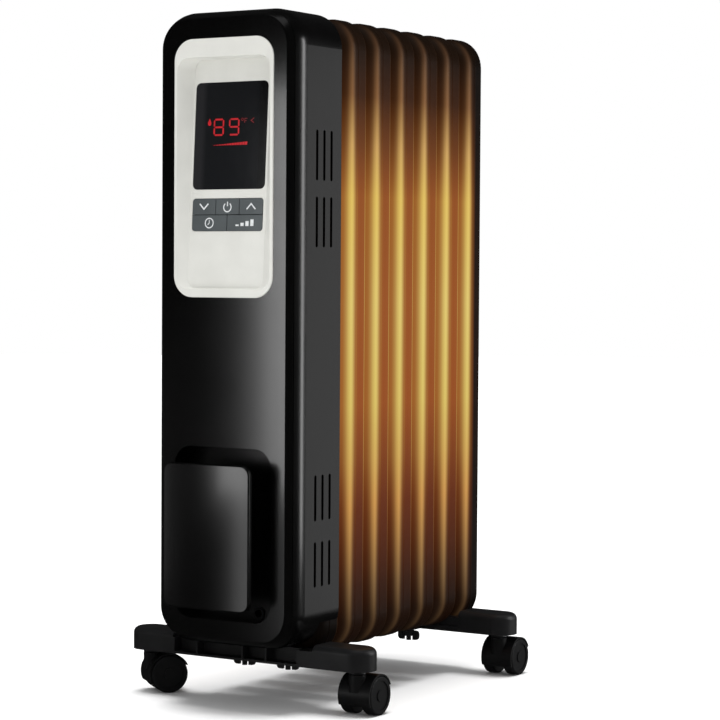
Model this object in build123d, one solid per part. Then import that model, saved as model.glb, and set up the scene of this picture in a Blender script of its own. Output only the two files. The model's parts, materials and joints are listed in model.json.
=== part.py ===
from build123d import *
import math
import os

# An oil filled radiator heater: seven hollow steel fins on two wheeled feet, and a
# plastic housing at the front that holds the controls.
# Millimetres, +Z up, front towards -Y. Depths below are measured from the housing's
# front face. MIDDLE is the depth of the middle of the footprint, which becomes the
# origin when the parts are written.
MIDDLE = 160.0

# Housing
HOUSING_WIDTH = 153.0
HOUSING_LOW = 58.3
HOUSING_TOP = 640.0
HOUSING_CORNER = 34.0
HOUSING_REAR = 79.6
HOUSING_WALL = 1.6
EDGE_DEPTH = 22.0
EDGE_INSET = 7.5
FRONT_RADIUS = 1.5
REAR_RADIUS = 0.7
COVER_DEPTH = 6.5
COVER_SHEET = 3.0
SEAM_GAP = 0.6
TONGUE_INSET = 6.2
TONGUE_THICK = 2.0
TONGUE_REACH = 6.0
VENT_DEPTHS = (38.3, 50.3, 62.3)
VENT_GROUPS = ((115.0, 156.5), (175.5, 217.5), (424.5, 470.5), (485.0, 531.0))
VENT_WIDTH = 3.8

# Fins
FIN_COUNT = 7
FIN_PITCH = 44.0
FIRST_REAR = 80.5
FIN_DEPTH = 30.0
FIN_WIDTH = 149.4
FIN_LOW = 47.4
FIN_TOP = 638.2
FIN_CORNER = 30.0
FIN_BEND = 13.0
SHEET = 1.2
FLANGE_LAP = 14.0
LAP_STEP = 0.45
HEM = 5.0
HEADER_LOW = 92.0
HEADER_HIGH = 594.0
NECK_RADIUS = 22.0
FLUTES = (-23.0, 0.0, 23.0)
FLUTE_WIDTH = 15.0
FLUTE_HALF = 7.0
PAD_HALF = 34.0
PAD_RISE = 25.0
PAD_CORNER = 12.0
CHANNEL_WALL = 1.2
END_NECK = 14.0
PIN_RADIUS = 1.6

# Control panel, which is dished: its floor leans back towards the top
PANEL_HALF = 54.8
PANEL_LOW = 378.4
PANEL_TOP = 614.0
PANEL_CORNER = 20.0
PANEL_PROUD = 1.2
DISH_HALF = 51.5
DISH_FLOOR_HALF = 42.0
DISH_LOW = 386.0
DISH_TOP = 597.0
DISH_DEEP = 15.0
DISH_SHALLOW = 2.4
PANEL_WALL = 3.4
LENS_WIDTH = 80.0
LENS_HEIGHT = 98.0
LENS_MIDDLE = 526.0
LENS_THICK = 2.0
PAD_WIDTH = 78.0
PAD_HEIGHT = 29.6
PAD_MIDDLE = 453.8
KEY_GAP = 0.5
KEY_THICK = 4.6
KEY_PROUD = 0.4
LIP_HEIGHT = 1.6

# Cord store
STORE_HALF = 53.7
STORE_LOW = 83.3
STORE_TOP = 241.8
STORE_CORNER = 18.0
STORE_DEPTH = 20.0
PLATE_HALF = 47.4
PLATE_LOW = 96.0
PLATE_TOP = 228.4
PLATE_FRONT = -27.85
PLATE_THICK = 4.5
PLATE_CORNER = 9.0
PLATE_BOW_RADIUS = 620.0
GLAND_X = 28.0
GLAND_Z = 89.8
GLAND_BORE = 3.7

# Feet
FOOT_LENGTH = 267.0
FOOT_WIDTH = 35.0
FOOT_LOW = 42.0
FOOT_SEAT = 47.2
FOOT_TOP = 63.0
FOOT_OFFSET = 23.75
CASTER_SPREAD = 232.0

# Casters
WHEEL_RADIUS = 18.0
WHEEL_INNER = 5.6
WHEEL_OUTER = 17.2
TRAIL = 13.0
AXLE_RADIUS = 2.5
STEM_RADIUS = 3.5
RUNNING_GAP = 0.05
HOOD_RADIUS = 19.8
HOOD_TOP = 38.0

# Worked out from the above
SHEET_MIDDLE = FIRST_REAR - FIN_DEPTH + SHEET / 2
FRONT_BOLT = SHEET_MIDDLE + FIN_PITCH / 2
REAR_BOLT = SHEET_MIDDLE + (FIN_COUNT - 1.5) * FIN_PITCH
FRONT_FOOT = FRONT_BOLT - FOOT_OFFSET
REAR_FOOT = REAR_BOLT + FOOT_OFFSET
DISH_SLOPE = (DISH_DEEP - DISH_SHALLOW) / (DISH_TOP - DISH_LOW)
LEAN = math.atan(DISH_SLOPE)


def rounded(half_width, low, top, radius):
    """A rounded rectangle as seen from the front."""
    return Pos(0, (low + top) / 2) * RectangleRounded(2 * half_width, top - low, radius)


def at_depth(outline, depth):
    return Plane.XZ.offset(-depth) * outline


def block(outline, front, rear):
    """The solid that an outline sweeps from one depth to another."""
    return extrude(at_depth(outline, front), amount=front - rear)


def rod(radius, x, z, front, rear):
    """A round bar that runs from front to rear."""
    return block(Pos(x, z) * Circle(radius), front, rear)


def post(radius, x, y, low, top):
    """An upright round bar."""
    return Pos(x, y, low) * Cylinder(radius, top - low, align=(Align.CENTER, Align.CENTER, Align.MIN))


def slab(x_from, x_to, front, rear, low, top):
    """A box between two corners."""
    middle = Pos((x_from + x_to) / 2, (front + rear) / 2, (low + top) / 2)
    return middle * Box(x_to - x_from, rear - front, top - low)


def housing_outline(inset):
    half = HOUSING_WIDTH / 2 - inset
    return rounded(half, HOUSING_LOW + inset, HOUSING_TOP - inset, HOUSING_CORNER - inset)


def edge_inset(depth):
    """How far the housing's edge is drawn in at a depth. It curves in towards the front."""
    return EDGE_INSET * ((EDGE_DEPTH - depth) / EDGE_DEPTH) ** 2


def curved_body(front, rear, count, wall):
    """The housing's curved body between two depths, drawn in by a wall as well."""
    depths = [front + (rear - front) * n / count for n in range(count + 1)]
    return loft([at_depth(housing_outline(edge_inset(depth) + wall), depth) for depth in depths])


def front_cover():
    body = curved_body(0, COVER_DEPTH, 3, 0)
    body = fillet(body.faces().sort_by(Axis.Y)[0].edges(), FRONT_RADIUS)
    tongue_end = COVER_DEPTH + TONGUE_REACH
    body = body + block(housing_outline(TONGUE_INSET), COVER_SHEET, tongue_end)
    body = body - block(housing_outline(TONGUE_INSET + TONGUE_THICK), COVER_SHEET, tongue_end + 1)
    gap = 0.2
    half = PANEL_HALF + gap
    body = body - block(rounded(half, PANEL_LOW - gap, PANEL_TOP + gap, PANEL_CORNER + gap), -1, 9)
    wall = 2.0
    pocket_outer = rounded(STORE_HALF + wall, STORE_LOW - wall, STORE_TOP + wall, STORE_CORNER + wall)
    body = body + block(pocket_outer, 1.5, STORE_DEPTH + wall)
    pocket = block(rounded(STORE_HALF, STORE_LOW, STORE_TOP, STORE_CORNER), -1, STORE_DEPTH)
    body = body - pocket
    return body - rod(5.0, GLAND_X, GLAND_Z, STORE_DEPTH - 1, STORE_DEPTH + 3)


def vent_slots():
    slots = []
    for low, top in VENT_GROUPS:
        for depth in VENT_DEPTHS:
            outline = Pos(depth, (low + top) / 2) * Rot(0, 0, 90) * SlotOverall(top - low, VENT_WIDTH)
            slots.append(extrude(Plane.YZ * outline, amount=HOUSING_WIDTH, both=True))
    return slots


def first_fin_room():
    """The space that the first fin takes, which notches the shell's bottom and lower corners."""
    room = rounded(FIN_WIDTH / 2 + 0.15, FIN_LOW - 1.0, FIN_TOP + 0.15, FIN_CORNER + 0.15)
    return block(room, FIRST_REAR - FIN_DEPTH - 1.5, HOUSING_REAR + 1)


def housing_shell():
    start = COVER_DEPTH + SEAM_GAP
    body = curved_body(start, EDGE_DEPTH, 4, 0)
    body = body + block(housing_outline(0), EDGE_DEPTH, HOUSING_REAR)
    body = body - curved_body(start - 1, EDGE_DEPTH, 4, HOUSING_WALL)
    body = body - block(housing_outline(HOUSING_WALL), EDGE_DEPTH, HOUSING_REAR + 1)
    body = fillet(body.faces().sort_by(Axis.Y)[-1].outer_wire().edges(), REAR_RADIUS)
    body = body - first_fin_room()
    return body - vent_slots()


def dish_floor(height):
    """The plane of the dish's floor, with its origin at a height on the middle line."""
    depth = DISH_DEEP - (DISH_TOP - height) * DISH_SLOPE
    normal = (0, -math.cos(LEAN), math.sin(LEAN))
    return Plane(origin=(0, depth, height), x_dir=(1, 0, 0), z_dir=normal)


def dish_volume(grow, front):
    middle = (DISH_LOW + DISH_TOP) / 2
    floor = dish_floor(middle)
    length = (DISH_TOP - DISH_LOW) / math.cos(LEAN)
    mouth = rounded(DISH_HALF + grow, DISH_LOW - grow, DISH_TOP + grow, 12.0 + grow)
    bottom = RectangleRounded(2 * (DISH_FLOOR_HALF + grow), length - 2 + 2 * grow, 9.0 + grow)
    return loft([at_depth(mouth, front), floor.offset(-grow) * bottom], ruled=True)


def on_floor(width, height, radius, middle, front, rear):
    """A rounded block set in the dish's floor, from front to rear of its surface."""
    floor = dish_floor(middle)
    outline = floor.offset(front) * RectangleRounded(width, height, radius)
    return extrude(outline, amount=rear - front)


def control_panel():
    rim = block(rounded(PANEL_HALF, PANEL_LOW, PANEL_TOP, PANEL_CORNER), -PANEL_PROUD, COVER_SHEET)
    rim = fillet(rim.faces().sort_by(Axis.Y)[0].edges(), 1.0)
    lap = 4.0
    flange_outline = rounded(PANEL_HALF + lap, PANEL_LOW - lap, PANEL_TOP + lap, PANEL_CORNER + lap)
    flange = block(flange_outline, COVER_SHEET, COVER_SHEET + 2)
    body = rim + flange + dish_volume(PANEL_WALL, COVER_SHEET + 1)
    body = body - dish_volume(0, -PANEL_PROUD - 0.01)
    body = body - on_floor(LENS_WIDTH + 0.3, LENS_HEIGHT + 0.3, 5.15, LENS_MIDDLE, 9, 0.2 - LENS_THICK)
    body = body - on_floor(LENS_WIDTH - 8, LENS_HEIGHT - 8, 2.0, LENS_MIDDLE, 1, -9)
    return body - on_floor(PAD_WIDTH + 0.6, PAD_HEIGHT + 0.6, 3.3, PAD_MIDDLE, 9, -12)


def display_lens():
    lens = on_floor(LENS_WIDTH, LENS_HEIGHT, 5.0, LENS_MIDDLE, 0.2, 0.2 - LENS_THICK)
    return fillet(lens.faces().sort_by(Axis.Y)[0].edges(), 0.4)


def display_module():
    return on_floor(58, 44, 2.0, LENS_MIDDLE + 6, -2.4, -9.0)


def key_outlines():
    """Each key's name, middle across, middle above the pad's middle, width and height."""
    row = (PAD_HEIGHT - KEY_GAP) / 2
    rise = (row + KEY_GAP) / 2
    third = (PAD_WIDTH - 2 * KEY_GAP) / 3
    half = (PAD_WIDTH - KEY_GAP) / 2
    step = third + KEY_GAP
    shift = (half + KEY_GAP) / 2
    return [
        ("button_down", -step, rise, third, row),
        ("button_power", 0.0, rise, third, row),
        ("button_up", step, rise, third, row),
        ("button_timer", -shift, -rise, half, row),
        ("button_mode", shift, -rise, half, row),
    ]


def key(across, above, width, height):
    floor = dish_floor(PAD_MIDDLE)
    cap = floor.offset(KEY_PROUD) * (Pos(across, above) * RectangleRounded(width, height, 0.8))
    body = extrude(cap, amount=-KEY_THICK)
    corner = on_floor(PAD_WIDTH, PAD_HEIGHT, 3.0, PAD_MIDDLE, 9, -12)
    body = body & corner
    body = fillet(body.faces().sort_by(Axis.Y)[0].edges(), 0.35)
    side = 1 if above > 0 else -1
    overlap = 0.4
    lip_middle = above + side * (height + LIP_HEIGHT - overlap) / 2
    lip_outline = Pos(across, lip_middle) * Rectangle(width - 8, LIP_HEIGHT + overlap)
    lip_front = PANEL_WALL + 0.2
    lip = extrude(floor.offset(-lip_front) * lip_outline, amount=lip_front + KEY_PROUD - KEY_THICK)
    return body + lip


def control_board():
    board = on_floor(84, 150, 3.0, (LENS_MIDDLE + PAD_MIDDLE) / 2 + 2, -9.0, -10.6)
    switches = []
    floor = dish_floor(PAD_MIDDLE)
    for name, across, above, width, height in key_outlines():
        base = floor.offset(-9.0) * (Pos(across, above) * RectangleRounded(6, 6, 0.5))
        knob = floor.offset(-6.5) * (Pos(across, above) * Circle(1.7))
        switches.append(extrude(base, amount=2.5))
        switches.append(extrude(knob, amount=1.3))
    return board + switches


def cord_wrap_post():
    tube = block(rounded(18, 126, 198, 17), PLATE_FRONT + PLATE_THICK, STORE_DEPTH)
    bore = block(rounded(15.5, 128.5, 195.5, 14.5), PLATE_FRONT + PLATE_THICK + 2.5, STORE_DEPTH + 1)
    return tube - bore


def cord_wrap_plate():
    """A slightly bowed plate with a lip that turns back towards the housing."""
    radius = PLATE_BOW_RADIUS
    bow = PLATE_HALF ** 2 / (2 * radius)
    rear = PLATE_FRONT + PLATE_THICK + bow
    body = block(rounded(PLATE_HALF, PLATE_LOW, PLATE_TOP, PLATE_CORNER), PLATE_FRONT, rear)
    drum = Pos(0, PLATE_FRONT + radius, 162) * Cylinder(radius, 200)
    body = body & drum
    front_edges = body.edges().filter_by(lambda e: e.center().Y < PLATE_FRONT + bow + 0.3)
    body = fillet(front_edges, 1.4)
    lip = 2.4
    inner = rounded(PLATE_HALF - lip, PLATE_LOW + lip, PLATE_TOP - lip, PLATE_CORNER - lip)
    return body - block(inner, PLATE_FRONT + PLATE_THICK, PLATE_FRONT + 2 * PLATE_THICK)


def cord_gland():
    front = rod(5.9, GLAND_X, GLAND_Z, STORE_DEPTH - 1.5, STORE_DEPTH)
    body = rod(5.0, GLAND_X, GLAND_Z, STORE_DEPTH, STORE_DEPTH + 2)
    nut = rod(6.4, GLAND_X, GLAND_Z, STORE_DEPTH + 2, STORE_DEPTH + 6)
    return front + body + nut - rod(GLAND_BORE, GLAND_X, GLAND_Z, STORE_DEPTH - 3, STORE_DEPTH + 8)


def channel_outline(inset):
    """The oil's way through a fin: a pad round each header, joined by upright flutes."""
    outline = Sketch()
    for height in (HEADER_LOW, HEADER_HIGH):
        rise = PAD_RISE - inset
        outline += rounded(PAD_HALF - inset, height - rise, height + rise, PAD_CORNER - inset)
    middle = (HEADER_LOW + HEADER_HIGH) / 2
    for x in FLUTES:
        outline += Pos(x, middle) * Rectangle(FLUTE_WIDTH - 2 * inset, HEADER_HIGH - HEADER_LOW)
    return outline


def fin_tray():
    """A pressed tray whose rim turns back all round, with a lapped and hemmed edge."""
    half = FIN_WIDTH / 2 - LAP_STEP
    low = FIN_LOW + LAP_STEP
    top = FIN_TOP - LAP_STEP
    corner = FIN_CORNER - LAP_STEP
    tray = block(rounded(half, low, top, corner), 0, FIN_DEPTH)
    tray = fillet(tray.faces().sort_by(Axis.Y)[0].edges(), FIN_BEND)
    lap = block(rounded(FIN_WIDTH / 2, FIN_LOW, FIN_TOP, FIN_CORNER), FIN_DEPTH - FLANGE_LAP, FIN_DEPTH)
    lap = fillet(lap.faces().sort_by(Axis.Y)[-1].edges(), 0.8)
    lap = chamfer(lap.faces().sort_by(Axis.Y)[0].edges(), 0.4)
    inner = rounded(half - SHEET, low + SHEET, top - SHEET, corner - SHEET)
    inner = block(inner, SHEET, FIN_DEPTH - HEM)
    inner = fillet(inner.faces().sort_by(Axis.Y)[0].edges(), FIN_BEND - SHEET)
    fold = 1.8
    throat = rounded(half - fold, low + fold, top - fold, corner - fold)
    throat = block(throat, FIN_DEPTH - HEM, FIN_DEPTH + 1)
    tray = tray + lap - inner - throat
    for x in bolt_legs():
        tray = tray - post(2.9, x, (SHEET + FIN_PITCH) / 2, FIN_LOW - 1, FIN_LOW + 4)
    return tray


def fin(tray, number):
    """A fin at its place. The first and the last close the headers off."""
    middle = SHEET / 2
    neck_front = middle - FIN_PITCH / 2
    neck_rear = middle + FIN_PITCH / 2
    hollow_rear = neck_rear + 1
    if number == 1:
        neck_front = middle - END_NECK
    if number == FIN_COUNT:
        neck_rear = middle + END_NECK
        hollow_rear = neck_rear - CHANNEL_WALL
    channel = block(channel_outline(0), middle - FLUTE_HALF, middle + FLUTE_HALF)
    rims = channel.faces().sort_by(Axis.Y)[0].edges() + channel.faces().sort_by(Axis.Y)[-1].edges()
    body = tray + fillet(rims, 3.5)
    for height in (HEADER_LOW, HEADER_HIGH):
        body = body + rod(NECK_RADIUS, 0, height, neck_front, neck_rear)
    inner_half = FLUTE_HALF - CHANNEL_WALL
    body = body - block(channel_outline(CHANNEL_WALL), middle - inner_half, middle + inner_half)
    for height in (HEADER_LOW, HEADER_HIGH):
        hollow_front = neck_front - 1
        if number == 1 and height == HEADER_HIGH:
            hollow_front = neck_front + CHANNEL_WALL
        body = body - rod(NECK_RADIUS - CHANNEL_WALL, 0, height, hollow_front, hollow_rear)
    return Pos(0, FIRST_REAR - FIN_DEPTH + (number - 1) * FIN_PITCH, 0) * body


def fins():
    tray = fin_tray()
    middle_fin = fin(tray, 2)
    made = {"fin_1": fin(tray, 1)}
    for number in range(2, FIN_COUNT):
        made[f"fin_{number}"] = Pos(0, (number - 2) * FIN_PITCH, 0) * middle_fin
    made[f"fin_{FIN_COUNT}"] = fin(tray, FIN_COUNT)
    return made


def element_flange():
    front = SHEET_MIDDLE - END_NECK
    plate = block(Pos(0, HEADER_LOW) * RegularPolygon(23, 6), front - 5, front)
    plug = rod(NECK_RADIUS - 1.3, 0, HEADER_LOW, front, front + 8)
    body = plate + plug
    for x in (-9, 9):
        body = body - rod(4.0, x, HEADER_LOW, front - 8, front + 10)
    return body


def heating_element():
    front = SHEET_MIDDLE - END_NECK
    end = 285.0
    body = rod(4.0, -9, HEADER_LOW, front - 9, end) + rod(4.0, 9, HEADER_LOW, front - 9, end)
    bend = Pos(0, end, HEADER_LOW) * Torus(9, 4)
    body = body + (bend & slab(-20, 20, end, end + 20, HEADER_LOW - 10, HEADER_LOW + 10))
    for x in (-9, 9):
        body = body + rod(PIN_RADIUS, x, HEADER_LOW, front - 14.4, front - 9)
    return body


def element_leads():
    """Two insulated wires from the terminal block down to the element's pins."""
    leads = []
    depth = SHEET_MIDDLE - 27
    for side in (-1, 1):
        points = [
            (side * 9, depth, HEADER_LOW + PIN_RADIUS + 0.05),
            (side * 9, depth, 200),
            (side * 22, depth, 246),
            (side * 22, depth, 259),
        ]
        path = FilletPolyline(*points, radius=20)
        section = Plane(origin=points[0], z_dir=(0, 0, 1)) * Circle(1.5)
        leads.append(sweep(section, path=path))
    return leads[0] + leads[1]


def terminal_block():
    front = SHEET_MIDDLE - 30.5
    body = slab(-32, 32, front, front + 8, 259, 279)
    for x in (-22, 0, 22):
        body = body - slab(x - 5, x + 5, front - 1, front + 1.5, 264, 274)
    return body


def mounting_plate():
    """The steel sheet that carries the housing in front of the first fin."""
    front = SHEET_MIDDLE - 16.5
    body = block(rounded(66, 70, 628, 26), front, front + 1.0)
    body = body - block(rounded(36, 62, 130, 20), front - 1, front + 2)
    body = body - rod(12, 0, HEADER_HIGH, front - 1, front + 2)
    for height in (240, 420, 500):
        body = body - block(Pos(0, height) * SlotOverall(60, 24), front - 1, front + 2)
    for x, z in spacer_places():
        body = body - rod(2.0, x, z, front - 1, front + 2)
    return body


def spacer_places():
    return [(x, z) for x in (-48, 48) for z in (160, 350, 560)]


def plate_spacers():
    front = SHEET_MIDDLE - 15.5
    rear = SHEET_MIDDLE - SHEET / 2
    solids = []
    for x, z in spacer_places():
        tube = rod(4.5, x, z, front, rear)
        head = rod(3.6, x, z, front - 3.2, front - 1.0)
        shank = rod(2.0, x, z, front - 1.0, front)
        solids.append(tube + head + shank)
    return solids


def fill_plug():
    front = SHEET_MIDDLE - END_NECK
    flats = block(Pos(0, HEADER_HIGH) * RegularPolygon(7, 6), front - 8, front - 3)
    return rod(9, 0, HEADER_HIGH, front - 3, front) + flats


def thermal_cutout():
    rear = SHEET_MIDDLE - FLUTE_HALF
    can = rod(8, 0, 240, rear - 7, rear)
    tab_left = slab(-5, -3.6, rear - 13, rear - 7, 237, 243)
    tab_right = slab(3.6, 5, rear - 13, rear - 7, 237, 243)
    return can + tab_left + tab_right


def temperature_sensor():
    rear = SHEET_MIDDLE - FLUTE_HALF
    clip = slab(-7, 7, rear - 1.2, rear, 415, 425)
    bead = rod(2.6, 0, 420, rear - 9, rear - 1.2)
    return clip + bead


def power_board():
    return slab(-50, 50, 19, 20.6, 286, 366)


def power_components():
    relay = slab(-42, -14, 5.5, 19, 296, 316)
    transformer = slab(6, 40, 4.5, 19, 296, 330)
    tank = rod(6, -30, 344, 6, 19)
    small = rod(4, -12, 348, 9, 19)
    return [relay, fillet(transformer.edges().filter_by(Axis.Y), 2), tank, small]


def tip_over_switch():
    case = slab(36, 60, 21, 31, 256, 284)
    return fillet(case.edges().filter_by(Axis.Y), 2)


def cover_screws():
    """Screws from behind that hold the control panel's flange to the front cover."""
    rear = COVER_SHEET + 2
    places = [(x, z) for x in (-56.8, 56.8) for z in (410, 496, 582)]
    solids = []
    for x, z in places:
        solids.append(rod(2.1, x, z, rear, rear + 1.6))
    return solids


def foot(center, bolt, front):
    """A moulded bar across the heater, with a raised shoulder over each caster."""
    bar = Pos(0, center, 0) * SlotOverall(FOOT_LENGTH, FOOT_WIDTH)
    body = extrude(Pos(0, 0, FOOT_LOW) * bar, amount=FOOT_TOP - FOOT_LOW)
    body = fillet(body.faces().sort_by(Axis.Z)[-1].edges(), 6)
    inner = FIN_WIDTH / 2 + 3.8
    near = center - FOOT_WIDTH / 2 - 1
    far = center + FOOT_WIDTH / 2 + 1
    if front:
        body = body - slab(-inner, inner, near, far, HOUSING_LOW - 1.0, FOOT_TOP + 1)
        body = body - slab(-inner, inner, SHEET_MIDDLE - 2.4, far, FOOT_SEAT, FOOT_TOP + 1)
    else:
        gap_front = bolt + FIN_PITCH / 2 - FIN_PITCH + FIN_DEPTH
        gap_rear = bolt + FIN_PITCH / 2 - SHEET
        body = body - slab(-inner, inner, near, gap_front, FOOT_SEAT, FOOT_TOP + 1)
        body = body - slab(-inner, inner, gap_rear - 1, far, FOOT_SEAT, FOOT_TOP + 1)
        body = body - slab(-inner, inner, near, far, 56.0, FOOT_TOP + 1)
        body = body - slab(-36, 36, near, far, FOOT_SEAT, FOOT_TOP + 1)
    for side in (-1, 1):
        for reach in (84.5, 95.0):
            x = side * reach
            body = body - slab(x - 4, x + 4, center - 13, center + 13, FOOT_LOW - 1, FOOT_TOP - 4)
        body = body - post(STEM_RADIUS, side * CASTER_SPREAD / 2, center, FOOT_LOW - 1, FOOT_TOP - 4)
    if front:
        body = body - front_pockets(center)
    pad_depth = 13.0
    pad_front = min(center, bolt - pad_depth)
    pad_rear = max(center, bolt + pad_depth)
    pad = slab(-34, 34, pad_front, pad_rear, FOOT_LOW, FOOT_SEAT)
    body = body + fillet(pad.edges().filter_by(Axis.Z), 5)
    for x in bolt_legs():
        body = body - post(2.9, x, bolt, FOOT_LOW - 1, FOOT_SEAT + 1)
    return body


def front_pockets(center):
    """Pockets in the front foot's face, which leave thin upright ribs between them."""
    face = center - FOOT_WIDTH / 2
    ribs = (-77.5, -50.9, 0.6, 27.0, 62.0)
    thick = 1.8
    pockets = []
    for left, right in zip(ribs[:-1], ribs[1:]):
        near, far = left + thick / 2, right - thick / 2
        pockets.append(slab(near, far, face - 1, face + 11, FOOT_LOW + 2.2, HOUSING_LOW + 4))
    return pockets


def bolt_legs():
    reach = NECK_RADIUS + 2.5 + 0.1
    return (-reach, reach)


def u_bolt(bolt):
    reach = bolt_legs()[1]
    ring = Pos(0, bolt, HEADER_LOW) * Rot(90, 0, 0) * Torus(reach, 2.5)
    arch = ring & slab(-40, 40, bolt - 5, bolt + 5, HEADER_LOW, HEADER_LOW + 40)
    body = arch
    for x in bolt_legs():
        body = body + post(2.5, x, bolt, 30.5, HEADER_LOW)
    return body


def wing_nuts():
    solids = []
    for bolt in (FRONT_BOLT, REAR_BOLT):
        for x in bolt_legs():
            barrel = post(5.5, x, bolt, FOOT_LOW - 7, FOOT_LOW)
            wings = slab(x - 12, x + 12, bolt - 1.3, bolt + 1.3, FOOT_LOW - 11, FOOT_LOW - 1.5)
            wings = fillet(wings.edges().filter_by(Axis.Y), 3.5)
            wings = wings - slab(x - 5, x + 5, bolt - 3, bolt + 3, FOOT_LOW - 12, FOOT_LOW - 7)
            solids.append(barrel + wings - post(2.5, x, bolt, FOOT_LOW - 12, FOOT_LOW + 1))
    return solids


def caster_places():
    """Each caster's name, place and the angle that its axle is turned to."""
    half = CASTER_SPREAD / 2
    return [
        ("front_left", -half, FRONT_FOOT, -38.0),
        ("front_right", half, FRONT_FOOT, 0.0),
        ("rear_left", -half, REAR_FOOT, -60.0),
        ("rear_right", half, REAR_FOOT, 0.0),
    ]


def cross_rod(radius, x_from, x_to, y, z):
    """A round bar that runs across, at a depth and a height."""
    return extrude(Plane.YZ.offset(x_from) * (Pos(y, z) * Circle(radius)), amount=x_to - x_from)


def wheel_rod(radius, x_one, x_other):
    """A round bar on the wheels' own axis."""
    return cross_rod(radius, min(x_one, x_other), max(x_one, x_other), TRAIL, WHEEL_RADIUS)


def caster_stem():
    top = FOOT_TOP - 4
    collar = post(8.0, 0, 0, HOOD_TOP + 0.4, FOOT_LOW)
    return post(STEM_RADIUS, 0, 0, 22.0, top) + fillet(collar.edges(), 0.8)


def caster_hood():
    disc = cross_rod(HOOD_RADIUS, -WHEEL_OUTER + 0.4, WHEEL_OUTER - 0.4, TRAIL, WHEEL_RADIUS)
    keep = Pos(0, TRAIL, WHEEL_RADIUS) * Rot(25, 0, 0) * Pos(0, 0, 25) * Box(50, 60, 50)
    body = disc & keep
    body = body + cross_rod(8.0, -WHEEL_INNER + 0.5, WHEEL_INNER - 0.5, TRAIL, WHEEL_RADIUS)
    body = body + post(8.0, 0, 0, 22.0, HOOD_TOP)
    spine = WHEEL_INNER - 0.4
    for x_from, x_to in ((-30, -spine), (spine, 30)):
        body = body - cross_rod(WHEEL_RADIUS + 0.6, x_from, x_to, TRAIL, WHEEL_RADIUS)
    body = body - post(STEM_RADIUS + RUNNING_GAP, 0, 0, 21.0, HOOD_TOP + 1)
    return body - cross_rod(AXLE_RADIUS, -20, 20, TRAIL, WHEEL_RADIUS)


def caster_axle():
    return cross_rod(AXLE_RADIUS, -13.6, 13.6, TRAIL, WHEEL_RADIUS)


def caster_wheel(side):
    outer = side * WHEEL_OUTER
    wheel = wheel_rod(WHEEL_RADIUS, side * WHEEL_INNER, outer)
    wheel = fillet(wheel.edges(), 1.6)
    dish = wheel_rod(13.6, outer, outer - side * 1.0)
    hub = wheel_rod(5.2, outer, outer - side * 1.2)
    bore = wheel_rod(AXLE_RADIUS + RUNNING_GAP, side * 4.0, side * 14.0)
    return wheel - (dish - hub) - bore


def caster(name, x, y, angle):
    place = Pos(x, y, 0) * Rot(0, 0, angle)
    return {
        f"caster_{name}_stem": place * caster_stem(),
        f"caster_{name}_hood": place * caster_hood(),
        f"caster_{name}_axle": place * caster_axle(),
        f"caster_{name}_wheel_left": place * caster_wheel(-1),
        f"caster_{name}_wheel_right": place * caster_wheel(1),
    }


def make_parts():
    parts = {
        "front_cover": front_cover(),
        "housing_shell": housing_shell(),
        "control_panel": control_panel(),
        "display_lens": display_lens(),
        "display_module": display_module(),
        "control_board": control_board(),
        "cord_wrap_post": cord_wrap_post(),
        "cord_wrap_plate": cord_wrap_plate(),
        "cord_gland": cord_gland(),
        "element_flange": element_flange(),
        "heating_element": heating_element(),
        "element_leads": element_leads(),
        "terminal_block": terminal_block(),
        "mounting_plate": mounting_plate(),
        "plate_spacers": plate_spacers(),
        "fill_plug": fill_plug(),
        "thermal_cutout": thermal_cutout(),
        "temperature_sensor": temperature_sensor(),
        "power_board": power_board(),
        "power_components": power_components(),
        "tip_over_switch": tip_over_switch(),
        "cover_screws": cover_screws(),
        "front_foot": foot(FRONT_FOOT, FRONT_BOLT, True),
        "rear_foot": foot(REAR_FOOT, REAR_BOLT, False),
        "u_bolt_front": u_bolt(FRONT_BOLT),
        "u_bolt_rear": u_bolt(REAR_BOLT),
        "wing_nuts": wing_nuts(),
    }
    parts.update(fins())
    for name, across, above, width, height in key_outlines():
        parts[name] = key(across, above, width, height)
    for name, x, y, angle in caster_places():
        parts.update(caster(name, x, y, angle))
    return parts


def write_parts(parts):
    os.makedirs("parts", exist_ok=True)
    for name, shape in parts.items():
        pieces = shape if isinstance(shape, (list, ShapeList)) else [shape]
        solids = [solid for piece in pieces for solid in piece.solids()]
        moved = [Pos(0, -MIDDLE, 0) * solid for solid in solids]
        export_step(moved[0] if len(moved) == 1 else Compound(children=moved), f"parts/{name}.step")


write_parts(make_parts())
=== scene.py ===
import json
import math

import bmesh
import bpy
from mathutils import Euler, Matrix, Vector


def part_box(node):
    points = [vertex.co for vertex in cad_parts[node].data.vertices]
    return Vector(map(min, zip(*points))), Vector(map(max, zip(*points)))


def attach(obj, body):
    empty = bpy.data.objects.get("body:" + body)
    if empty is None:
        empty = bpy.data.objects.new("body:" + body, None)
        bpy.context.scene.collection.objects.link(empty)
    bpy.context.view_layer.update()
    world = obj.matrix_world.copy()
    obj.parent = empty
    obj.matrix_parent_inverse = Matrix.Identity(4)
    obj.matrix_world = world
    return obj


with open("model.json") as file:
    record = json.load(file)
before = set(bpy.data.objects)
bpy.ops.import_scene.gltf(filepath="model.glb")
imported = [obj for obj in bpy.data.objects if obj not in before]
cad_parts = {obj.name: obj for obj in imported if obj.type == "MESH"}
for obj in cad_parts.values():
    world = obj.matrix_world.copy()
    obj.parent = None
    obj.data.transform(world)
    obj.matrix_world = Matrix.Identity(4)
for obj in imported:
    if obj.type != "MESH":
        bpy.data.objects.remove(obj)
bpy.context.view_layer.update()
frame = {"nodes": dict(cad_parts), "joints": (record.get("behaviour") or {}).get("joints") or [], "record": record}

MM = 0.001
nodes = frame["nodes"]
joints = {joint["name"]: joint for joint in frame["joints"]}


# ---------------------------------------------------------------- colours

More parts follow.
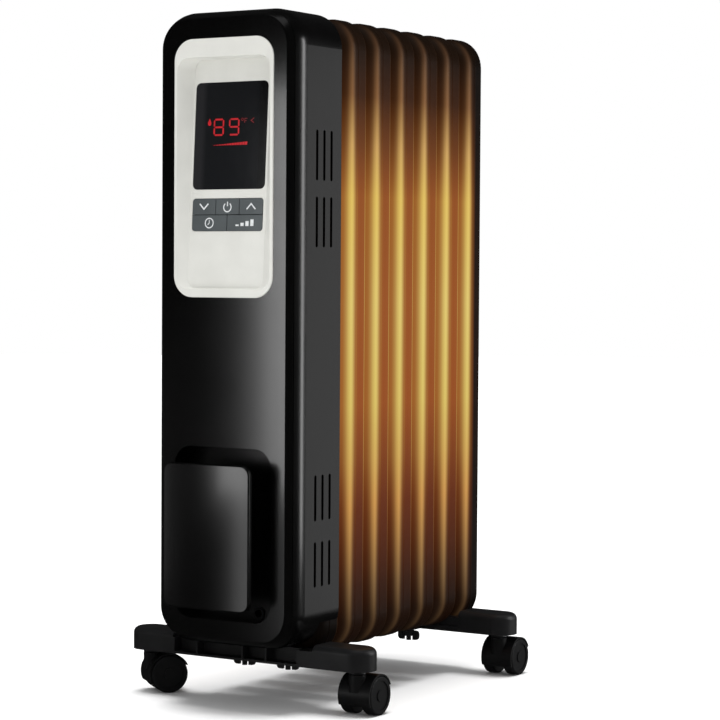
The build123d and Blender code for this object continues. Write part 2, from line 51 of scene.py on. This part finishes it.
def linear(red, green, blue):
    """A display colour from 0 to 255 as scene-linear values, with alpha."""
    values = []
    for level in (red, green, blue):
        share = level / 255
        values.append(share / 12.92 if share <= 0.04045 else ((share + 0.055) / 1.055) ** 2.4)
    return (*values, 1.0)


# ---------------------------------------------------------------- materials

class Shader:
    """A node material with its Principled shader, and short ways to add nodes to it."""

    def __init__(self, name):
        self.material = bpy.data.materials.new(name)
        self.material.use_nodes = True
        self.tree = self.material.node_tree
        self.principled = self.tree.nodes["Principled BSDF"]
        self.place = self.add("ShaderNodeTexCoord").outputs["Object"]

    def add(self, kind, **values):
        node = self.tree.nodes.new(kind)
        for name, value in values.items():
            setattr(node, name, value)
        return node

    def link(self, source, target):
        self.tree.links.new(source, target)

    def set(self, **values):
        for name, value in values.items():
            self.principled.inputs[name.replace("_", " ")].default_value = value

    def noise(self, scale, detail=4.0, stretch=None):
        """Noise over the object, per metre, stretched along an axis if asked."""
        texture = self.add("ShaderNodeTexNoise")
        texture.inputs["Scale"].default_value = scale
        texture.inputs["Detail"].default_value = detail
        source = self.place
        if stretch:
            mapping = self.add("ShaderNodeMapping")
            mapping.inputs["Scale"].default_value = stretch
            self.link(source, mapping.inputs["Vector"])
            source = mapping.outputs["Vector"]
        self.link(source, texture.inputs["Vector"])
        return texture.outputs["Fac"]

    def ramp(self, source, stops):
        """A colour ramp through (position, colour) stops."""
        ramp = self.add("ShaderNodeValToRGB")
        elements = ramp.color_ramp.elements
        elements.remove(elements[1])
        elements[0].position, elements[0].color = stops[0]
        for position, colour in stops[1:]:
            elements.new(position).color = colour
        self.link(source, ramp.inputs["Fac"])
        return ramp.outputs["Color"]

    def span(self, source, low, high, to_low=0.0, to_high=1.0):
        """A value's stretch from low to high, mapped to another stretch."""
        node = self.add("ShaderNodeMapRange")
        limits = {"From Min": low, "From Max": high, "To Min": to_low, "To Max": to_high}
        for name, value in limits.items():
            node.inputs[name].default_value = value
        self.link(source, node.inputs["Value"])
        return node.outputs["Result"]

    def math(self, operation, first, second=None):
        node = self.add("ShaderNodeMath", operation=operation)
        for socket, value in zip(node.inputs, (first, second)):
            if isinstance(value, (int, float)):
                socket.default_value = value
            elif value is not None:
                self.link(value, socket)
        return node.outputs["Value"]

    def axes(self):
        """The object's own X, Y and Z, in metres."""
        separate = self.add("ShaderNodeSeparateXYZ")
        self.link(self.place, separate.inputs["Vector"])
        return separate.outputs["X"], separate.outputs["Y"], separate.outputs["Z"]

    def bump(self, source, strength, distance):
        bump = self.add("ShaderNodeBump")
        bump.inputs["Strength"].default_value = strength
        bump.inputs["Distance"].default_value = distance
        self.link(source, bump.inputs["Height"])
        self.link(bump.outputs["Normal"], self.principled.inputs["Normal"])


NOISE_LOW = 0.3
NOISE_HIGH = 0.7


def moulded(name, dark, light, rough, grain=2600.0, relief=0.00004, strength=0.35, patches=90.0):
    """Moulded plastic: two close shades, uneven gloss and a fine grain."""
    shader = Shader(name)
    shade = shader.ramp(shader.noise(38.0), [(0.35, dark), (0.65, light)])
    shader.link(shade, shader.principled.inputs["Base Color"])
    gloss = shader.span(shader.noise(patches), NOISE_LOW, NOISE_HIGH, *rough)
    shader.link(gloss, shader.principled.inputs["Roughness"])
    shader.bump(shader.noise(grain, detail=2.0), strength, relief)
    return shader


def metal(name, dark, light, rough, stretch=None, grain=900.0, metallic=1.0):
    """Metal with brushed or cast grain and uneven roughness."""
    shader = Shader(name)
    shade = shader.ramp(shader.noise(60.0, stretch=stretch), [(NOISE_LOW, dark), (NOISE_HIGH, light)])
    shader.link(shade, shader.principled.inputs["Base Color"])
    gloss = shader.span(shader.noise(grain, stretch=stretch), NOISE_LOW, NOISE_HIGH, *rough)
    shader.link(gloss, shader.principled.inputs["Roughness"])
    shader.bump(shader.noise(grain, stretch=stretch), 0.2, 0.00003)
    shader.set(Metallic=metallic)
    return shader


def housing_plastic():
    dark, light = linear(3, 3, 3), linear(4, 4, 4)
    shader = moulded("housing_plastic", dark, light, (0.21, 0.23), strength=0.05, patches=25.0)
    shader.set(IOR=1.5, Coat_Weight=0.15, Coat_Roughness=0.12)
    return shader


def panel_plastic():
    dark, light = linear(216, 216, 210), linear(221, 221, 215)
    shader = moulded("panel_plastic", dark, light, (0.34, 0.42), strength=0.15)
    shader.set(IOR=1.46)
    return shader


def display_glass():
    """Smoked acrylic: a dark sheet with a painted reflection, a little lighter towards its left edge and darker at
    its right edge.
    """
    shader = Shader("display_glass")
    across = shader.axes()[0]
    low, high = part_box("display_lens")
    share = shader.span(across, low.x, high.x)
    # Painted reflection across the lens: lighter on the left, darker at the right edge.
    stops = [(0.0, linear(40, 40, 42)), (0.1, linear(38, 38, 40)), (0.17, linear(24, 25, 27)),
             (0.85, linear(21, 22, 24)), (0.93, linear(11, 11, 12))]
    shader.link(shader.ramp(share, stops), shader.principled.inputs["Base Color"])
    gloss = shader.span(shader.noise(140.0), NOISE_LOW, NOISE_HIGH, 0.16, 0.22)
    shader.link(gloss, shader.principled.inputs["Roughness"])
    shader.set(IOR=1.49, Specular_IOR_Level=0.2)
    return shader


# The fins' painted glow: painted orange light on dark fins, darker towards their top and bottom. Heights are
# shares of a fin's height, and colours are display colours.
PAINTED_BASE_GLOW = (
    (0.0, (12, 5, 2)), (0.05, (24, 10, 4)), (0.1, (50, 22, 8)), (0.23, (96, 42, 16)),
    (0.39, (146, 74, 28)), (0.55, (149, 78, 30)), (0.72, (143, 76, 30)), (0.8, (104, 56, 22)),
    (0.88, (54, 27, 9)), (0.93, (36, 18, 7)), (0.96, (20, 9, 3)), (1.0, (5, 3, 1)),
)
# Colours of the painted highlights on the fins, over the fin's height.
PAINTED_HIGHLIGHT_GLOW = (
    (0.0, (30, 19, 10)), (0.04, (72, 52, 32)), (0.1, (127, 97, 61)), (0.23, (204, 151, 81)),
    (0.39, (218, 193, 103)), (0.55, (224, 200, 112)), (0.72, (225, 193, 98)), (0.8, (206, 164, 96)),
    (0.88, (132, 92, 56)), (0.93, (108, 77, 50)), (0.96, (76, 52, 34)), (1.0, (20, 13, 8)),
)
# Millimetres back from a fin's front, with the share of the painted highlight colour there. The peak is a painted
# highlight on the bend, the small step a painted highlight on the pad's crease and the last one a painted
# highlight on the raw edge.
PAINTED_HIGHLIGHT_BANDS = (
    (0.0, 0.05), (2.0, 0.12), (3.8, 0.36), (5.6, 0.72), (8.0, 1.0), (9.6, 0.87), (11.4, 0.51),
    (13.0, 0.28), (14.6, 0.11), (15.6, 0.05), (16.0, 0.2), (16.5, 0.03), (21.0, 0.0),
    (28.5, 0.02), (28.9, 0.5),
)
FIN_DEPTH = 30.0
# Painted shade: the painted highlight band narrows towards the fins' top and bottom, which are darker.
DIM_ENDS = ((0.04, 1.0), (0.3, 0.0), (0.72, 0.0), (0.93, 1.0))
DIM_ENDS_SHARPNESS = 2.4
GLOW_SIDES = (44.0, 66.0)
LAST_GLOW = (19.0, 10.0)
LAST_GLOW_LEFT = 0.02
HOUSING_SHADE = 1.0


def grey(share):
    return (share, share, share, 1.0)


def painted_glow_colour(shader, rise, stops):
    """A painted glow's colour over the fin's height."""
    return shader.ramp(rise, [(place, linear(*colour)) for place, colour in stops])


def painted_highlight_share(shader, depth, rise):
    """How much of the painted highlight colour shows. Each fin has one painted highlight band, narrower towards
    its top and bottom, which are painted darker.
    """
    first_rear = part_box("fin_1")[1].y
    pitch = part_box("fin_2")[1].y - first_rear
    behind_first = shader.math("SUBTRACT", depth, first_rear)
    turns = shader.math("FRACT", shader.math("DIVIDE", behind_first, pitch))
    front = 1 - FIN_DEPTH * MM / pitch
    weight = shader.ramp(turns, [(front + place * MM / pitch, grey(share)) for place, share in PAINTED_HIGHLIGHT_BANDS])
    dimming = shader.ramp(rise, [(place, grey(share)) for place, share in DIM_ENDS])
    sharpness = shader.span(dimming, 0.0, 1.0, 1.0, DIM_ENDS_SHARPNESS)
    return shader.math("POWER", weight, sharpness)


def painted_glow_strength(shader, across, depth):
    """Strength of the painted glow: full on the fins' sides, and nothing in their middles, inside the housing or
    behind the last fin.
    """
    last_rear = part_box("fin_7")[1].y
    housing_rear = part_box("housing_shell")[1].y
    near, far = [reach * MM for reach in GLOW_SIDES]
    side = shader.span(shader.math("ABSOLUTE", across), near, far)
    full, faded = [last_rear - reach * MM for reach in LAST_GLOW]
    behind = shader.span(depth, full, faded, 1.0, LAST_GLOW_LEFT)
    outside = shader.span(depth, housing_rear - HOUSING_SHADE * MM, housing_rear)
    return shader.math("MULTIPLY", shader.math("MULTIPLY", side, behind), outside)


def fin_enamel():
    """Dark enamelled steel with a painted glow: a painted highlight on each fin's bend, a dimmer painted glow on
    its flat rim, and painted darker at top and bottom.
    """
    shader = Shader("fin_enamel")
    across, depth, height = shader.axes()
    low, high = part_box("fin_4")
    rise = shader.span(height, low.z, high.z)
    # The painted glow: the base glow colour, with the painted highlight colour mixed in on each fin's bend.
    mix = shader.add("ShaderNodeMix", data_type="RGBA")
    shader.link(painted_highlight_share(shader, depth, rise), mix.inputs["Factor"])
    shader.link(painted_glow_colour(shader, rise, PAINTED_BASE_GLOW), mix.inputs[6])
    shader.link(painted_glow_colour(shader, rise, PAINTED_HIGHLIGHT_GLOW), mix.inputs[7])
    shader.link(mix.outputs[2], shader.principled.inputs["Emission Color"])
    shader.link(painted_glow_strength(shader, across, depth), shader.principled.inputs["Emission Strength"])
    shade = shader.ramp(shader.noise(45.0), [(0.35, linear(17, 11, 7)), (0.65, linear(22, 14, 9))])
    shader.link(shade, shader.principled.inputs["Base Color"])
    gloss = shader.span(shader.noise(160.0), NOISE_LOW, NOISE_HIGH, 0.34, 0.42)
    shader.link(gloss, shader.principled.inputs["Roughness"])
    shader.set(Specular_IOR_Level=0.07)
    shader.bump(shader.noise(700.0), 0.2, 0.00006)
    return shader


def circuit_board():
    """Green board with a faint grid of tracks."""
    shader = moulded("circuit_board", linear(18, 72, 34), linear(24, 88, 42), (0.35, 0.45))
    tracks = shader.add("ShaderNodeTexBrick")
    tracks.inputs["Scale"].default_value = 160.0
    tracks.inputs["Color1"].default_value = linear(20, 78, 36)
    tracks.inputs["Color2"].default_value = linear(26, 92, 44)
    tracks.inputs["Mortar"].default_value = linear(60, 120, 60)
    shader.link(shader.place, tracks.inputs["Vector"])
    shader.link(tracks.outputs["Color"], shader.principled.inputs["Base Color"])
    return shader


def printed(name, colour):
    """Ink printed on a key."""
    shader = Shader(name)
    dim = linear(*[level - 12 for level in colour])
    shade = shader.ramp(shader.noise(400.0), [(NOISE_LOW, dim), (NOISE_HIGH, linear(*colour))])
    shader.link(shade, shader.principled.inputs["Base Color"])
    shader.set(Roughness=0.5)
    return shader.material


def lit(name, colour, spread):
    """A lit display segment, slightly uneven."""
    shader = Shader(name)
    dim = linear(*[level * spread for level in colour])
    shade = shader.ramp(shader.noise(260.0), [(NOISE_LOW, dim), (NOISE_HIGH, linear(*colour))])
    shader.link(shade, shader.principled.inputs["Emission Color"])
    shader.set(Emission_Strength=1.0, Roughness=0.4)
    shader.set(Base_Color=linear(30, 4, 5))
    return shader.material


# Each slot's darker and lighter shade, its roughness from and to, and any other setting.
PLASTICS = {
    "key_plastic": ((76, 82, 84), (82, 88, 90), (0.42, 0.5), {"strength": 0.3}),
    "lead_insulation": ((150, 30, 22), (170, 40, 30), (0.5, 0.6), {}),
    "gland_nylon": ((5, 5, 5), (8, 8, 8), (0.4, 0.5), {}),
    "component_plastic": ((40, 42, 46), (58, 60, 64), (0.4, 0.55), {}),
    "display_board": ((24, 24, 24), (32, 32, 32), (0.5, 0.6), {}),
    "foot_plastic": ((20, 20, 21), (24, 24, 25), (0.36, 0.46), {"grain": 1500.0}),
    "caster_plastic": ((12, 12, 13), (16, 16, 17), (0.34, 0.42), {"grain": 1800.0}),
    "wheel_plastic": ((15, 15, 16), (20, 20, 21), (0.38, 0.5), {"grain": 1500.0}),
}
METALS = {
    "element_steel": ((120, 116, 112), (150, 146, 140), (0.4, 0.55), {"stretch": (8.0, 1.0, 8.0)}),
    "brass_fittings": ((176, 140, 74), (204, 168, 96), (0.25, 0.4), {}),
    "galvanised_steel": ((150, 152, 154), (186, 188, 190), (0.35, 0.5), {}),
    "sensor_metal": ((170, 170, 172), (200, 200, 202), (0.3, 0.4), {}),
    "zinc_hardware": ((26, 26, 27), (36, 36, 37), (0.4, 0.5), {"metallic": 0.2}),
    "caster_steel": ((120, 120, 122), (150, 150, 152), (0.3, 0.42), {}),
}
DULLED = {"gland_nylon": 0.15, "wheel_plastic": 0.25}


def material_table():
    """Each record slot's material."""
    shaders = {
        "housing_plastic": housing_plastic(),
        "panel_plastic": panel_plastic(),
        "display_glass": display_glass(),
        "circuit_board": circuit_board(),
        "fin_enamel": fin_enamel(),
    }
    for make, looks in ((moulded, PLASTICS), (metal, METALS)):
        for slot, (dark, light, rough, settings) in looks.items():
            shaders[slot] = make(slot, linear(*dark), linear(*light), rough, **settings)
    for slot, specular in DULLED.items():
        shaders[slot].set(Specular_IOR_Level=specular)
    return {slot: shader.material for slot, shader in shaders.items()}


def dress_nodes(table):
    """Give every carried-over node the material of its slot."""
    for subpart in frame["record"]["subparts"]:
        mesh = nodes[subpart["node"]].data
        mesh.materials.clear()
        mesh.materials.append(table[subpart["material_slot"]])


# ---------------------------------------------------------------- printed and lit marks

class Face:
    """A flat front of a node: its middle, and the directions across, up and out of it."""

    FLATNESS = 0.00003

    def __init__(self, node, out):
        self.out = out
        self.across = Vector((1, 0, 0))
        self.up = out.cross(self.across)
        points = [vertex.co for vertex in nodes[node].data.vertices]
        furthest = max(point.dot(out) for point in points)
        front = [point for point in points if furthest - point.dot(out) < self.FLATNESS]
        sides = [point.dot(self.across) for point in front]
        heights = [point.dot(self.up) for point in front]
        middle_side = (max(sides) + min(sides)) / 2
        middle_height = (max(heights) + min(heights)) / 2
        self.middle = self.across * middle_side + self.up * middle_height + out * furthest

    def point(self, side, height, rise):
        """A place on the face, in millimetres from its middle."""
        return self.middle + (self.across * side + self.up * height + self.out * rise) * MM


SUNK = -0.05
PRINT_RISE = 0.06


def add_prism(mesh, face, outline, rise):
    """A thin closed slab of a convex outline, sunk a little into its face."""
    low = [mesh.verts.new(face.point(side, height, SUNK)) for side, height in outline]
    high = [mesh.verts.new(face.point(side, height, rise)) for side, height in outline]
    mesh.faces.new(list(reversed(low)))
    mesh.faces.new(high)
    count = len(outline)
    for index in range(count):
        after = (index + 1) % count
        mesh.faces.new((low[index], low[after], high[after], high[index]))


def ribbon_sides(points, width, closed):
    """The two edges of a stroke of even width through its points, mitred at its corners."""
    count = len(points)
    left, right = [], []
    for index, point in enumerate(points):
        here = Vector(point)
        before = Vector(points[index - 1]) if closed or index else here
        after = Vector(points[(index + 1) % count]) if closed or index < count - 1 else here
        into = (here - before).normalized() if before != here else (after - here).normalized()
        onward = (after - here).normalized() if after != here else into
        along = (into + onward).normalized()
        reach = width / 2 / max(along.dot(into), 0.3)
        normal = Vector((-along.y, along.x))
        left.append(here + normal * reach)
        right.append(here - normal * reach)
    return left, right


def add_ribbon(mesh, face, points, width, rise, closed=False):
    """A thin closed strip that follows its points over a face."""
    left, right = ribbon_sides(points, width, closed)
    rings = []
    for one, other in zip(left, right):
        corners = ((other, SUNK), (other, rise), (one, rise), (one, SUNK))
        rings.append([mesh.verts.new(face.point(spot.x, spot.y, height)) for spot, height in corners])
    pairs = list(zip(rings[:-1], rings[1:]))
    if closed:
        pairs.append((rings[-1], rings[0]))
    for first, second in pairs:
        for index in range(4):
            after = (index + 1) % 4
            mesh.faces.new((first[index], first[after], second[after], second[index]))
    if not closed:
        mesh.faces.new(list(reversed(rings[0])))
        mesh.faces.new(rings[-1])


def arc(radius, start, end, steps, middle=(0.0, 0.0)):
    """Points along an arc, in degrees anticlockwise from the right."""
    points = []
    for step in range(steps + 1):
        angle = math.radians(start + (end - start) * step / steps)
        points.append((middle[0] + radius * math.cos(angle), middle[1] + radius * math.sin(angle)))
    return points


def finish_mark(mesh, name, material, body):
    """Turn a mark's mesh into a piece that rides on a body."""
    bmesh.ops.recalc_face_normals(mesh, faces=mesh.faces)
    data = bpy.data.meshes.new(name)
    mesh.to_mesh(data)
    mesh.free()
    data.materials.append(material)
    piece = bpy.data.objects.new(name, data)
    bpy.context.scene.collection.objects.link(piece)
    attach(piece, body)
    return piece


CHEVRON_REACH = 4.8
CHEVRON_SHOULDER = 2.7
CHEVRON_TIP = 2.3
CHEVRON_STROKE = 1.3
POWER_RADIUS = 4.1
POWER_STROKE = 1.1
CLOCK_RADIUS = 4.4
CLOCK_STROKE = 1.0
HANDS_STROKE = 0.8
LEVEL_COUNT = 4
LEVEL_LEFT = -9.8
LEVEL_FOOT = -2.9
LEVEL_PITCH = 5.4
LEVEL_WIDTH = 3.5
LEVEL_STEP = 1.5


def chevron(mesh, face, way):
    """An arrowhead that points up (1) or down (-1)."""
    shoulder = -way * CHEVRON_SHOULDER
    points = [(-CHEVRON_REACH, shoulder), (0.0, way * CHEVRON_TIP), (CHEVRON_REACH, shoulder)]
    add_ribbon(mesh, face, points, CHEVRON_STROKE, PRINT_RISE)


def down_mark(mesh, face):
    chevron(mesh, face, -1)


def up_mark(mesh, face):
    chevron(mesh, face, 1)


def power_mark(mesh, face):
    """A ring that is open at the top, with a short upright in the opening."""
    ring = arc(POWER_RADIUS, 128, 412, 28, (0.0, -0.7))
    add_ribbon(mesh, face, ring, POWER_STROKE, PRINT_RISE)
    add_ribbon(mesh, face, [(0.0, 0.2), (0.0, 4.4)], POWER_STROKE, PRINT_RISE)


def timer_mark(mesh, face):
    """A clock face with two hands."""
    add_ribbon(mesh, face, arc(CLOCK_RADIUS, 0, 348, 29), CLOCK_STROKE, PRINT_RISE, closed=True)
    add_ribbon(mesh, face, [(0.0, 3.0), (0.0, -0.1), (-1.6, -1.5)], HANDS_STROKE, PRINT_RISE)


def mode_mark(mesh, face):
    """Four rising bars, for the heat level."""
    for index in range(LEVEL_COUNT):
        left = LEVEL_LEFT + index * LEVEL_PITCH
        right = left + LEVEL_WIDTH
        top = LEVEL_FOOT + LEVEL_STEP * (index + 1)
        outline = [(left, LEVEL_FOOT), (right, LEVEL_FOOT), (right, top), (left, top)]
        add_prism(mesh, face, outline, PRINT_RISE)


def print_keys():
    ink = printed("key_print", (226, 229, 230))
    marks = {
        "down": down_mark,
        "power": power_mark,
        "up": up_mark,
        "timer": timer_mark,
        "mode": mode_mark,
    }
    for name, draw in marks.items():
        out = -Vector(joints[f"button_{name}_press"]["axis"])
        face = Face(f"button_{name}", out.normalized())
        mesh = bmesh.new()
        draw(mesh, face)
        finish_mark(mesh, f"{name}_symbol", ink, f"button_{name}_body")


# The display's figures. Heights are above the floor or above the digits' middle, in millimetres.
SEGMENTS = {"8": "abcdefg", "9": "abcdfg"}
DIGITS = (("8", -13.1), ("9", 3.9))
DIGITS_HEIGHT = 533.8
DIGIT_WIDTH = 11.6
DIGIT_HEIGHT = 15.8
STROKE = 1.6
SEGMENT_GAP = 0.35
DEGREE_RING = (12.8, 6.6)
DEGREE_RADIUS = 1.1
UNIT_STROKES = (
    ((18.2, 7.4), (15.4, 7.4), (15.4, 3.4)),
    ((17.6, 5.4), (15.7, 5.4)),
)
UNIT_STROKE = 0.6
ARROW = ((25.6, 7.6), (22.4, 5.4), (25.6, 3.2))
ARROW_STROKE = 0.7
DROP = ((-23.6, 8.2), (-25.6, 4.2), (-25.0, 2.2), (-23.6, 1.4), (-22.2, 2.2), (-21.6, 4.2))
BAR_COUNT = 13
BAR_LEFT = -18.5
BAR_HEIGHT = 517.2
BAR_PITCH = 2.9
BAR_WIDTH = 2.5
BAR_LEAN = 0.5
BAR_START = 0.3
BAR_RISE = 2.6


def segment_places():
    """The two ends of each of a digit's seven segments."""
    side = (DIGIT_WIDTH - STROKE) / 2
    top = (DIGIT_HEIGHT - STROKE) / 2
    return {
        "a": ((-side, top), (side, top)),
        "b": ((side, top), (side, 0)),
        "c": ((side, 0), (side, -top)),
        "d": ((-side, -top), (side, -top)),
        "e": ((-side, 0), (-side, -top)),
        "f": ((-side, top), (-side, 0)),
        "g": ((-side, 0), (side, 0)),
    }


def add_segment(mesh, face, start, end, side, height, rise):
    """A six-sided bar with pointed ends."""
    first = Vector((start[0] + side, start[1] + height))
    last = Vector((end[0] + side, end[1] + height))
    along = (last - first).normalized()
    normal = Vector((-along.y, along.x)) * STROKE / 2
    tip = along * SEGMENT_GAP
    shoulder = along * (SEGMENT_GAP + STROKE / 2)
    outline = [first + tip, first + shoulder - normal, last - shoulder - normal,
               last - tip, last - shoulder + normal, first + shoulder + normal]
    add_prism(mesh, face, [(spot.x, spot.y) for spot in outline], rise)


def raised(points, height):
    """The points, moved up over their face."""
    return [(side, up + height) for side, up in points]


def add_unit(mesh, face, base):
    """A degree ring, the unit's letter and a small arrow."""
    ring = arc(DEGREE_RADIUS, 0, 330, 11, (DEGREE_RING[0], base + DEGREE_RING[1]))
    add_ribbon(mesh, face, ring, UNIT_STROKE, PRINT_RISE, closed=True)
    for stroke in UNIT_STROKES:
        add_ribbon(mesh, face, raised(stroke, base), UNIT_STROKE, PRINT_RISE)
    add_ribbon(mesh, face, raised(ARROW, base), ARROW_STROKE, PRINT_RISE)


def add_level_bar(mesh, face, foot):
    """A row of slanted cells that grow to the right."""
    for index in range(BAR_COUNT):
        left = BAR_LEFT + index * BAR_PITCH
        right = left + BAR_WIDTH
        top = foot + BAR_START + BAR_RISE * index / (BAR_COUNT - 1)
        corners = [(left, foot), (right, foot), (right + BAR_LEAN, top), (left + BAR_LEAN, top)]
        add_prism(mesh, face, corners, PRINT_RISE)


def light_display():
    """The lit figures on the display: two digits, the unit, two small signs and a rising bar."""
    out = -Vector(joints["button_power_press"]["axis"])
    face = Face("display_lens", out.normalized())
    lens_middle = face.middle.z / MM
    red = lit("lit_red", (204, 31, 40), 0.84)
    faint = lit("lit_red_faint", (126, 22, 28), 0.8)
    base = DIGITS_HEIGHT - lens_middle
    places = segment_places()
    digits = bmesh.new()
    for figure, side in DIGITS:
        for letter in SEGMENTS[figure]:
            add_segment(digits, face, *places[letter], side, base, PRINT_RISE)
    finish_mark(digits, "display_digits", red, "root")
    unit = bmesh.new()
    add_unit(unit, face, base)
    finish_mark(unit, "display_unit", faint, "root")
    sign = bmesh.new()
    add_prism(sign, face, raised(DROP, base), PRINT_RISE)
    finish_mark(sign, "display_heat_sign", red, "root")
    bar = bmesh.new()
    add_level_bar(bar, face, BAR_HEIGHT - lens_middle)
    finish_mark(bar, "display_level_bar", red, "root")


# ---------------------------------------------------------------- stage, lights and camera

FLOOR_RADIUS = 9.0
MATT_SKY = 0.6
GLOSSY_SKY = 0.02
SKY_LIGHT = 3.2
SKY_SPREAD = 30.0


def floor():
    """A pale round floor that polished surfaces don't mirror."""
    mesh = bmesh.new()
    bmesh.ops.create_circle(mesh, cap_ends=True, radius=FLOOR_RADIUS, segments=96)
    data = bpy.data.meshes.new("studio_floor")
    mesh.to_mesh(data)
    mesh.free()
    shader = Shader("studio_floor")
    stops = [(NOISE_LOW, linear(243, 243, 243)), (NOISE_HIGH, linear(246, 246, 246))]
    shade = shader.ramp(shader.noise(3.0), stops)
    shader.link(shade, shader.principled.inputs["Base Color"])
    shader.set(Roughness=0.9, Specular_IOR_Level=0.1)
    data.materials.append(shader.material)
    ground = bpy.data.objects.new("studio_floor", data)
    bpy.context.scene.collection.objects.link(ground)
    ground.visible_glossy = False


def softbox(name, place, aim, width, height, radiance, matt=True, beam=180.0):
    """A rectangular light that faces a point. Its beam is in degrees, and matt says if it lights matt surfaces."""
    data = bpy.data.lights.new(name, "AREA")
    data.shape = "RECTANGLE"
    data.size = width
    data.size_y = height
    data.energy = radiance * math.pi * width * height
    data.spread = math.radians(beam)
    lamp = bpy.data.objects.new(name, data)
    lamp.location = place
    lamp.rotation_euler = (Vector(aim) - Vector(place)).to_track_quat("-Z", "Y").to_euler()
    lamp.visible_diffuse = matt
    bpy.context.scene.collection.objects.link(lamp)


def sky_light():
    """A wide soft light from above, which whitens the floor."""
    data = bpy.data.lights.new("sky_light", "SUN")
    data.energy = SKY_LIGHT
    data.angle = math.radians(SKY_SPREAD)
    lamp = bpy.data.objects.new("sky_light", data)
    lamp.visible_glossy = False
    bpy.context.scene.collection.objects.link(lamp)


def lights():
    """Soft boxes, each with its place, the point that it faces, its width, its height and its brightness."""
    softbox("front_softbox", (-0.115, -0.485, 0.385), (0.085, -0.16, 0.38),
            0.10, 0.42, 0.23, matt=False, beam=34.0)
    softbox("low_softbox", (-0.085, -0.47, 0.10), (0.05, -0.19, 0.11),
            0.07, 0.17, 0.11, matt=False, beam=40.0)
    softbox("left_softbox", (-0.66, -0.72, 0.15), (-0.05, -0.16, 0.13), 0.12, 0.30, 0.7, matt=False)
    softbox("side_strip", (0.88, 0.45, 0.47), (0.07, -0.14, 0.34), 0.20, 0.90, 5.2, matt=False)
    softbox("side_softbox", (0.62, 0.86, 0.30), (0.08, 0.0, 0.30), 0.36, 0.90, 0.55)
    softbox("overhead", (0.3, -0.5, 2.2), (0.0, 0.0, 0.2), 1.6, 1.6, 0.4)
    sky_light()


def surroundings():
    """White to the eye, softly bright on matt surfaces and nearly dark in reflections."""
    world = bpy.data.worlds.new("studio")
    world.use_nodes = True
    tree = world.node_tree
    background = tree.nodes["Background"]
    path = tree.nodes.new("ShaderNodeLightPath")
    level = tree.nodes.new("ShaderNodeMix")
    level.inputs["A"].default_value = MATT_SKY
    level.inputs["B"].default_value = GLOSSY_SKY
    tree.links.new(path.outputs["Is Glossy Ray"], level.inputs["Factor"])
    seen = tree.nodes.new("ShaderNodeMix")
    seen.inputs["B"].default_value = 1.0
    tree.links.new(path.outputs["Is Camera Ray"], seen.inputs["Factor"])
    tree.links.new(level.outputs["Result"], seen.inputs["A"])
    tree.links.new(seen.outputs["Result"], background.inputs["Strength"])
    background.inputs["Color"].default_value = (1.0, 1.0, 1.0, 1.0)
    world.cycles.sampling_method = "NONE"
    bpy.context.scene.world = world


CAMERA_PLACE = (1.26729, -1.95356, 0.40433)
CAMERA_AZIMUTH = 31.98
CAMERA_PITCH = 2.14
CAMERA_ROLL = 0.363
CAMERA_LENS = 120.5


def camera():
    data = bpy.data.cameras.new("camera")
    data.lens = CAMERA_LENS
    data.sensor_width = 36.0
    eye = bpy.data.objects.new("camera", data)
    turn = Euler((math.radians(90 - CAMERA_PITCH), 0, math.radians(CAMERA_AZIMUTH))).to_matrix().to_4x4()
    roll = Matrix.Rotation(math.radians(CAMERA_ROLL), 4, "Z")
    eye.matrix_world = Matrix.Translation(CAMERA_PLACE) @ turn @ roll
    bpy.context.scene.collection.objects.link(eye)
    bpy.context.scene.camera = eye


camera()
dress_nodes(material_table())
print_keys()
light_display()
floor()
lights()
surroundings()
bpy.context.scene.view_settings.view_transform = "Standard"
